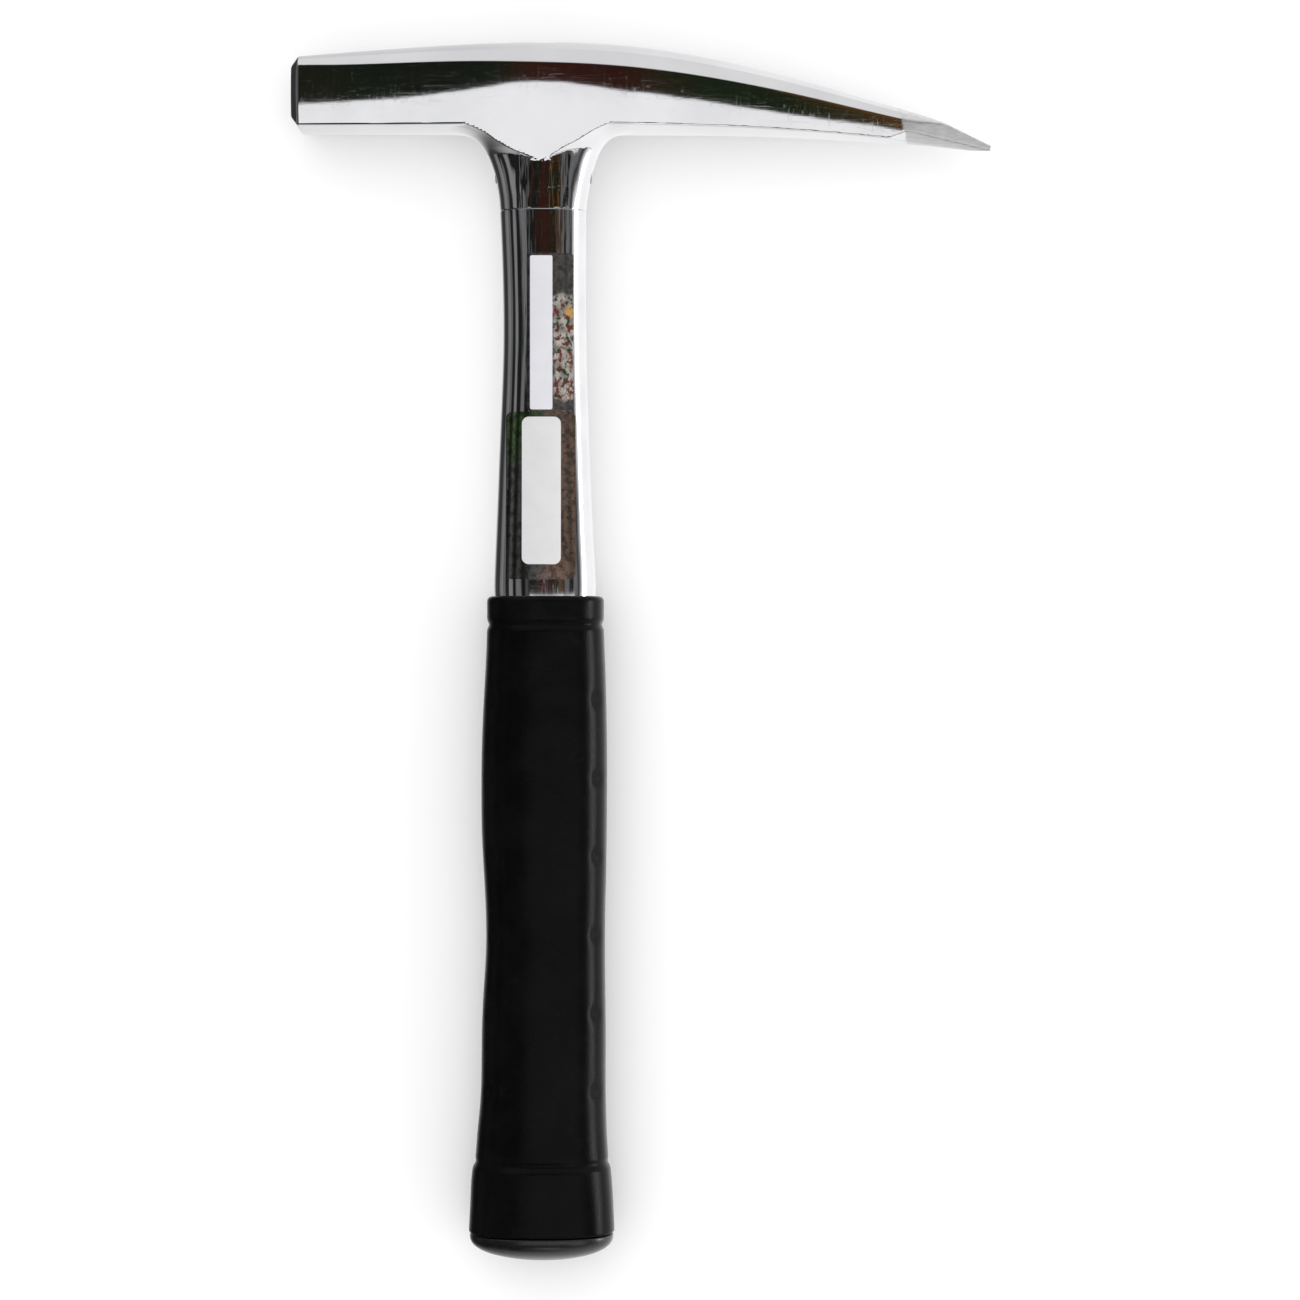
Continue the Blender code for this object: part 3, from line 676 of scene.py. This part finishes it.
around = 176
tube_angles = even_angles(12.0, 9.6, TUBE_POWER, around)
rows = []
for y, inset in ((329.3, 0.35), (329.27, 0.2), (329.15, 0.08), (328.9, 0.0), (306.0, 0.0), (284.4, 0.0)):
    rows.append((y, 9.5 - inset, 9.5 - inset, 7.0 - inset))
for y, inset in ((284.39, 0.05), (284.375, 0.02), (284.35, 0.005), (284.3, 0.0), (284.0, 0.0)):
    left, right, half = tube_outer(284.0)
    rows.append((y, left - inset, right - inset, half - inset))
for y in np.linspace(283.0, 160.0, 150):
    rows.append((y, *tube_outer(y)))
for y in (120.0, 60.0, 21.0):
    rows.append((y, 12.05, 12.05, 10.0))
rows.append((20.0, 11.7, 11.7, 9.6))
rows.append((20.0, 10.6, 10.6, 8.6))
rows.append((21.0, 10.4, 10.4, 8.4))
for y, a, b in ((150.0, 10.4, 8.4), (181.0, 12.2, 9.4), (250.0, 9.7, 7.7), (282.0, 9.5, 7.3), (287.5, 7.9, 5.4), (328.6, 7.9, 5.4), (329.1, 7.98, 5.48), (329.28, 8.15, 5.65)):
    rows.append((y, a, a, b))
verts = np.concatenate([oval_ring(*row, tube_angles, TUBE_POWER) for row in rows])
mesh_piece("tube_bright", verts, ring_faces(len(rows), around, joined=True), CHROME, ["handle_tube"])

# ------------------------------------------------------------------ blank labels
def label(name, cx, cy, hx, hy, r, lift, thick, material, node):
    """A thin film wrapped on the front of the tube, with rounded corners."""
    ys = [cy - hy + r * (1 - math.cos(t)) for t in np.linspace(0, math.pi / 2, 9)]
    ys += list(np.linspace(cy - hy + r, cy + hy - r, 60)[1:-1])
    ys += [cy + hy - r * (1 - math.cos(t)) for t in np.linspace(math.pi / 2, 0, 9)]
    columns = 33
    top, bottom = [], []
    for y in ys:
        left, right, half = tube_outer(y)
        edge = max(r - min(y - (cy - hy), (cy + hy) - y), 0.0)
        width = hx - (r - math.sqrt(max(r * r - edge * edge, 0.0)))
        xs = cx + width * np.linspace(-1, 1, columns)
        for store, off in ((bottom, lift), (top, lift + thick)):
            a, mid = (left + right) / 2 + off, (right - left) / 2
            z = (half + off) * (1 - np.abs((xs - mid) / a) ** TUBE_POWER) ** (1 / TUBE_POWER)
            store.append(np.stack([xs, np.full(columns, y), z], axis=1))
    n_rows = len(ys)
    verts = np.concatenate(top + bottom)
    quads = []
    for i in range(n_rows - 1):
        for j in range(columns - 1):
            a = i * columns + j
            quads.append((a, a + 1, a + 1 + columns, a + columns))
            b = a + n_rows * columns
            quads.append((b, b + columns, b + 1 + columns, b + 1))
    rim = [j for j in range(columns)]
    rim += [i * columns + columns - 1 for i in range(1, n_rows)]
    rim += [(n_rows - 1) * columns + j for j in range(columns - 2, -1, -1)]
    rim += [i * columns for i in range(n_rows - 2, 0, -1)]
    low = n_rows * columns
    for a, b in zip(rim, rim[1:] + rim[:1]):
        quads.append((a, low + a, low + b, b))
    obj = mesh_piece(name, verts, quads, material, [node])
    obj.data.set_sharp_from_angle(angle=math.radians(50))
    return obj


label("label_upper", 1.65, 251.2, 6.3, 21.2, 0.8, 0.03, 0.14, LABEL_A, "upper_label")
label("label_lower", -0.9, 207.1, 9.4, 22.6, 1.6, 0.03, 0.14, LABEL_B, "lower_label")

# ------------------------------------------------------------------ the grip
GRIP_L = Curve((7.0, 20.28), (12, 20.0), (17, 19.77), (23.0, 19.42), (27.5, 18.85), (34, 18.3), (42, 17.55), (50, 17.2), (60, 17.1), (72, 16.65), (83, 15.98), (93, 15.95), (103, 16.4), (114, 17.0), (127, 17.2), (138, 17.1), (148, 16.75), (160, 16.1), (169.8, 15.7), (180, 15.65))
GRIP_R = Curve((7.0, 18.45), (12, 18.25), (17, 18.0), (23.0, 17.55), (27.5, 17.15), (34, 16.75), (42, 16.48), (50, 16.42), (60, 16.45), (72, 16.35), (83, 16.26), (93, 16.3), (103, 16.52), (114, 16.7), (127, 16.8), (138, 16.8), (148, 16.65), (160, 16.35), (169.8, 16.0), (180, 15.95))
GRIP_H = Curve((7.0, 13.6), (12, 13.6), (17, 13.6), (23.0, 13.52), (27.5, 13.42), (34, 13.28), (42, 13.15), (50, 13.1), (60, 13.08), (72, 12.9), (83, 12.72), (93, 12.7), (103, 12.88), (114, 13.15), (127, 13.3), (138, 13.28), (148, 13.12), (160, 12.9), (169.8, 12.8), (180, 12.75))
GRIP_POWER = 2.35


def grip_offset(y, c):
    """How far the skin stands out of the grip's swept form, by height and by turn."""
    off = 0.0
    # rolled lip at the mouth, with a channel under it
    off = off - 0.55 * math.exp(-(((y - 172.3) / 0.95) ** 2))
    # step on to the flared end
    off = off + 0.38 * (0.5 - 0.5 * math.tanh((y - 25.3) / 0.55)) - 0.25 * math.exp(-(((y - 26.6) / 0.8) ** 2))
    # cross grooves on the two edges, fading out towards the front and back
    side = np.exp(-(((np.abs(c) - 0.86) / 0.075) ** 2))
    wave = 0.0
    for k in range(6):
        wave += math.exp(-(((y - (46.0 + 21.2 * k)) / 1.9) ** 2))
    off = off - 0.45 * wave * side
    # mould's parting line along both edges
    return off + 0.09 * np.exp(-(((1 - np.abs(c)) / 0.0025) ** 2))


around = 224
grip_angles = even_angles(16.4, 13.1, GRIP_POWER, around)
turn_cos = np.cos(grip_angles)
rows = []


def grip_row(y, inset=0.0, base=None):
    yb = y if base is None else base
    ring = oval_ring(y, float(GRIP_L(yb)), float(GRIP_R(yb)), float(GRIP_H(yb)), grip_angles, GRIP_POWER)
    # outward direction of the oval, for the relief
    ahead, behind = np.roll(ring, -1, axis=0), np.roll(ring, 1, axis=0)
    tangent = ahead - behind
    out = np.stack([tangent[:, 2], np.zeros(len(ring)), -tangent[:, 0]], axis=1)
    out /= np.linalg.norm(out, axis=1, keepdims=True)
    c = (ring[:, 0] - ring[:, 0].mean()) / ((ring[:, 0].max() - ring[:, 0].min()) / 2)
    off = grip_offset(yb, c) - inset
    return ring + out * np.broadcast_to(off, (len(ring),))[:, None]


edge_r = 1.35
for t in np.linspace(90, 0, 10):
    a = math.radians(t)
    rows.append(grip_row(180.0 - edge_r + edge_r * math.sin(a), edge_r - edge_r * math.cos(a), 178.5))
for y in np.r_[np.linspace(178.2, 168.0, 34), np.linspace(167.6, 30.0, 230), np.linspace(29.6, 8.2, 60)]:
    rows.append(grip_row(y))
end_r = 0.55
for t in np.linspace(8, 90, 8):
    a = math.radians(t)
    rows.append(grip_row(7.3 + end_r - end_r * math.sin(a), end_r - end_r * math.cos(a), 8.0))


def plain_ring(y, left, right, half):
    return oval_ring(y, left, right, half, grip_angles, GRIP_POWER)


rows.append(plain_ring(7.3, 15.2, 15.2, 12.0))
rows.append(plain_ring(7.55, 14.9, 14.9, 11.7))
rows.append(plain_ring(11.1, 14.9, 14.9, 11.7))
for y, a, b in ((11.12, 12.5, 10.4), (150.0, 12.5, 10.4), (170.0, 13.2, 10.9), (178.0, 14.05, 11.25), (179.7, 14.1, 11.3)):
    rows.append(plain_ring(y, a, a, b))
verts = np.concatenate(rows)
mesh_piece("grip_moulded", verts, ring_faces(len(rows), around, joined=True), RUBBER, ["grip_sleeve"])

# ------------------------------------------------------------------ the butt cap
around = 160
cap_angles = even_angles(16.0, 11.0, GRIP_POWER, around)
# dome: how far up the handle it is at each share of its full width, then the seat and the spigot
DOME = [(0.0, 0.0), (0.226, 0.03), (0.392, 0.34), (0.569, 0.98), (0.73, 1.78), (0.838, 2.6), (0.917, 3.52), (0.972, 4.6), (0.995, 5.6), (1.0, 6.5)]
run = np.r_[0, np.cumsum([math.hypot(20 * (b[0] - a[0]), b[1] - a[1]) for a, b in zip(DOME, DOME[1:])])]
dome_f = Curve(*zip(run, [d[0] for d in DOME]))
dome_y = Curve(*zip(run, [d[1] for d in DOME]))
rows = []
for t in np.linspace(0, run[-1], 56)[1:]:
    f, y = min(float(dome_f(t)), 1.0), max(float(dome_y(t)), 0.0)
    rows.append((y, 20.4 * f, 18.6 * f, 13.7 * f))
for t in np.linspace(0, 90, 7)[1:]:
    a = math.radians(t)
    rows.append((6.6 + 0.4 * math.sin(a), 20.0 + 0.4 * math.cos(a), 18.2 + 0.4 * math.cos(a), 13.3 + 0.4 * math.cos(a)))
rows.append((7.0, 14.75, 14.75, 11.55))
rows.append((7.15, 14.6, 14.6, 11.4))
rows.append((10.6, 14.6, 14.6, 11.4))
rows.append((10.8, 14.4, 14.4, 11.2))
rows.append((10.81, 5.2, 5.2, 5.2))
rows.append((11.1, 5.0, 5.0, 5.0))
rows.append((30.0, 5.0, 5.0, 5.0))
rows.append((31.5, 3.8, 3.8, 3.8))
rings = [oval_ring(*row, cap_angles, GRIP_POWER if row[0] < 10.805 else 2.0) for row in rows]
verts = np.concatenate(rings + [np.array([[-0.9, 0.0, 0.0], [0.0, 31.5, 0.0]])])
quads = ring_faces(len(rows), around, flip=True)
first, last = len(verts) - 2, len(verts) - 1
fans = [(first, j, (j + 1) % around) for j in range(around)]
base = (len(rows) - 1) * around
fans += [(last, base + (j + 1) % around, base + j) for j in range(around)]
mesh_piece("cap_domed", verts, quads, PLASTIC, ["butt_cap"], tris=fans).data.set_sharp_from_angle(angle=math.radians(55))

# ------------------------------------------------------------------ pieces kept from the CAD model
for node, material in (
    ("eye_wedge", PLAIN),
    ("cross_pin", PLAIN),
    ("neck_stiffener", WOOD),
    ("tube_end_plug", PLASTIC),
):
    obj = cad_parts[node]
    obj.data.materials.clear()
    obj.data.materials.append(material)

# ------------------------------------------------------------------ floor, light and camera
floor_mesh = bpy.data.meshes.new("floor")
s = 6.0
floor_mesh.from_pydata([(-s, -s, 0), (s, -s, 0), (s, s, 0), (-s, s, 0)], [], [(0, 1, 2, 3)])
floor = bpy.data.objects.new("floor", floor_mesh)
floor.location.z = cad_lo.z - 0.0003
bpy.context.scene.collection.objects.link(floor)
paint = bpy.data.materials.new("floor_pale")
paint.use_nodes = True
shader = paint.node_tree.nodes["Principled BSDF"]
shader.inputs["Base Color"].default_value = (0.93, 0.93, 0.93, 1.0)
shader.inputs["Roughness"].default_value = 0.85
shader.inputs["Specular IOR Level"].default_value = 0.2
shader.inputs["Emission Color"].default_value = (1.0, 1.0, 1.0, 1.0)
shader.inputs["Emission Strength"].default_value = 0.10
floor_mesh.materials.append(paint)
floor.visible_glossy = False


def area(name, place, target, size, power, seen=True):
    data = bpy.data.lights.new(name, "AREA")
    data.shape = "DISK"
    data.size = size
    data.energy = power
    obj = bpy.data.objects.new(name, data)
    obj.location = place
    obj.rotation_euler = (Vector(target) - Vector(place)).to_track_quat("-Z", "Y").to_euler()
    bpy.context.scene.collection.objects.link(obj)
    obj.visible_glossy = seen
    return obj


area("soft_overhead", (-0.35, 0.55, 1.7), (0, 0, 0), 2.2, 9.0, seen=False)
area("soft_fill", (0.7, -0.8, 1.5), (0, 0, 0), 2.2, 4.4, seen=False)

# A pale room whose ceiling is dark but for one soft panel, which bright metal shows as bands.
world = bpy.data.worlds.new("studio")
bpy.context.scene.world = world
world.use_nodes = True
tree = world.node_tree
tree.nodes.clear()


def wmath(op, a, b=0.0, clamp=False):
    node = tree.nodes.new("ShaderNodeMath")
    node.operation = op
    node.use_clamp = clamp
    for socket, value in zip(node.inputs, (a, b)):
        if hasattr(value, "links"):
            tree.links.new(value, socket)
        else:
            socket.default_value = value
    return node.outputs[0]


def wramp(value, lo, hi, stops):
    """A grey level by angle: stops are (degrees, level)."""
    node = tree.nodes.new("ShaderNodeMapRange")
    node.inputs["From Min"].default_value = lo
    node.inputs["From Max"].default_value = hi
    tree.links.new(value, node.inputs["Value"])
    ramp = tree.nodes.new("ShaderNodeValToRGB")
    tree.links.new(node.outputs["Result"], ramp.inputs["Fac"])
    elements = ramp.color_ramp.elements
    for k, (angle, level) in enumerate(stops):
        colour = level if isinstance(level, tuple) else (level, level, level)
        spot = (angle - lo) / (hi - lo)
        if k < 2:
            elements[k].position = spot
            elements[k].color = (*colour, 1.0)
        else:
            elements.new(spot).color = (*colour, 1.0)
    return ramp.outputs["Color"]


def wmix(fac, a, b):
    node = tree.nodes.new("ShaderNodeMix")
    node.data_type = "RGBA"
    for socket, value in ((node.inputs[0], fac), (node.inputs[6], a), (node.inputs[7], b)):
        if hasattr(value, "links"):
            tree.links.new(value, socket)
        else:
            socket.default_value = value
    return node.outputs[2]


direction = tree.nodes.new("ShaderNodeTexCoord").outputs["Generated"]
parts = tree.nodes.new("ShaderNodeSeparateXYZ")
tree.links.new(direction, parts.inputs[0])
DEG = 180 / math.pi
tilt = wmath("MULTIPLY", wmath("ARCTAN2", parts.outputs[1], parts.outputs[2]), DEG)
side = wmath("MULTIPLY", wmath("ARCSINE", parts.outputs[0]), DEG)
sky = wramp(tilt, -180, 180, [(-180, 0.9), (-64, 0.9), (-52, 0.10), (-16, 0.05), (19, 0.03), (24, 0.95), (180, 0.95)])
low = wmath("LESS_THAN", parts.outputs[2], 0.0)
panel = wramp(tilt, -30, 30, [(-30, 0.0), (-26, 0.0), (-24, 1.0), (2.6, 1.0), (3.0, 0.0), (30, 0.0)])
reach = wramp(side, -90, 90, [(-90, 0.0), (-17, 0.0), (-15, 1.0), (20, 1.0), (23, 0.0), (90, 0.0)])
tip_reach = wramp(side, -90, 90, [(-90, 0.0), (21, 0.0), (24, 1.0), (46, 1.0), (50, 0.0), (90, 0.0)])
tip_panel = wramp(tilt, -60, 30, [(-60, 0.0), (-44, 0.0), (-40, 1.0), (1, 1.0), (3, 0.0), (30, 0.0)])
# dark end of the room: near black, with dim grey shapes and some warm and green ones overhead
streaks = wramp(
    side,
    -90,
    90,
    [
        (-90, 0.14), (-80, 0.16), (-76, 0.02), (-67, 0.02), (-63, 0.28), (-56, 0.26), (-52, 0.015), (-43, 0.015),
        (-39, 0.20), (-34, 0.20), (-31, 0.012), (-25, 0.012), (-22, 0.10), (-19, 0.08), (-16, 0.012), (-10, (0.010, 0.012, 0.009)),
        (-7.5, (0.010, 0.016, 0.009)), (-4.0, (0.042, 0.014, 0.010)), (6.0, (0.036, 0.012, 0.008)), (10.5, (0.012, 0.022, 0.010)),
        (13.0, (0.012, 0.020, 0.009)), (15.0, (0.13, 0.060, 0.018)), (18.0, (0.10, 0.050, 0.020)), (21.0, 0.02),
        (26.0, 0.14), (32.0, 0.14), (36.0, 0.015), (43.0, 0.015), (47.0, 0.18), (55.0, 0.16), (60.0, 0.03), (68.0, 0.30),
    ],
)
east = wramp(side, -90, 90, [(-90, 0.0), (66, 0.0), (73, 1.0), (90, 1.0)])
band = wramp(tilt, -180, 180, [(-180, 0.0), (-60, 0.0), (-46, 1.0), (19, 1.0), (24, 0.0), (180, 0.0)])
far = wramp(side, -90, 90, [(-90, 1.0), (-48, 1.0), (-30, 0.0), (90, 0.0)])
look = wmix(wmath("MAXIMUM", band, far), sky, streaks)
west = wramp(side, -90, 90, [(-90, 1.0), (-12, 1.0), (4, 0.6), (12, 0.0), (90, 0.0)])
south = wramp(tilt, -180, 180, [(-180, 0.0), (-92, 0.0), (-84, 1.0), (-48, 1.0), (-40, 0.0), (180, 0.0)])
look = wmix(wmath("MULTIPLY", west, south), look, (0.030, 0.016, 0.016, 1.0))
window = wmath(
    "MULTIPLY",
    wramp(tilt, -90, 0, [(-90, 0.0), (-66, 0.0), (-62, 1.0), (-52, 1.0), (-48, 0.0), (0, 0.0)]),
    wramp(side, -30, 30, [(-30, 0.0), (-4, 0.0), (-1, 1.0), (6, 1.0), (9, 0.0), (30, 0.0)]),
)
look = wmix(window, look, (2.6, 2.6, 2.6, 1.0))
look = wmix(wmath("MULTIPLY", panel, reach), look, (1.12, 1.12, 1.13, 1.0))
look = wmix(wmath("MULTIPLY", tip_panel, tip_reach), look, (1.15, 1.15, 1.15, 1.0))
look = wmix(east, look, (1.0, 1.0, 1.0, 1.0))
strip = wramp(side, -90, 90, [(-90, 0.0), (77, 0.0), (79, 1.0), (88, 1.0), (90, 1.0)])
look = wmix(strip, look, (16.0, 16.0, 16.0, 1.0))
under = wramp(side, -90, 90, [(-90, 0.30), (-74, 0.20), (-66, 0.04), (-40, 0.06), (-20, 0.6), (0, 1.0), (30, 1.25), (90, 1.35)])
look = wmix(low, look, under)
# matt surfaces are lit by the even, pale room
path = tree.nodes.new("ShaderNodeLightPath")
matt = wmath("GREATER_THAN", path.outputs["Diffuse Depth"], 0.5)
look = wmix(matt, look, (0.80, 0.80, 0.80, 1.0))
background = tree.nodes.new("ShaderNodeBackground")
tree.links.new(look, background.inputs["Color"])
background.inputs["Strength"].default_value = 1.0
output = tree.nodes.new("ShaderNodeOutputWorld")
tree.links.new(background.outputs[0], output.inputs["Surface"])

bpy.context.scene.view_settings.view_transform = "Standard"

camera_data = bpy.data.cameras.new("camera")
camera_data.lens = 100.0
camera_data.sensor_width = 36.0
camera_data.clip_end = 50.0
camera = bpy.data.objects.new("camera", camera_data)
WIDTH = 1300 * 0.27205
aim = np.array([(650 - 545) * 0.27205, (1258 - 650) * 0.27205, 0.0]) + SHIFT
camera.location = (aim[0] * MM, aim[1] * MM, aim[2] * MM + WIDTH * MM * 100.0 / 36.0)
camera.rotation_euler = (0.0, 0.0, 0.0)
bpy.context.scene.collection.objects.link(camera)
bpy.context.scene.camera = camera
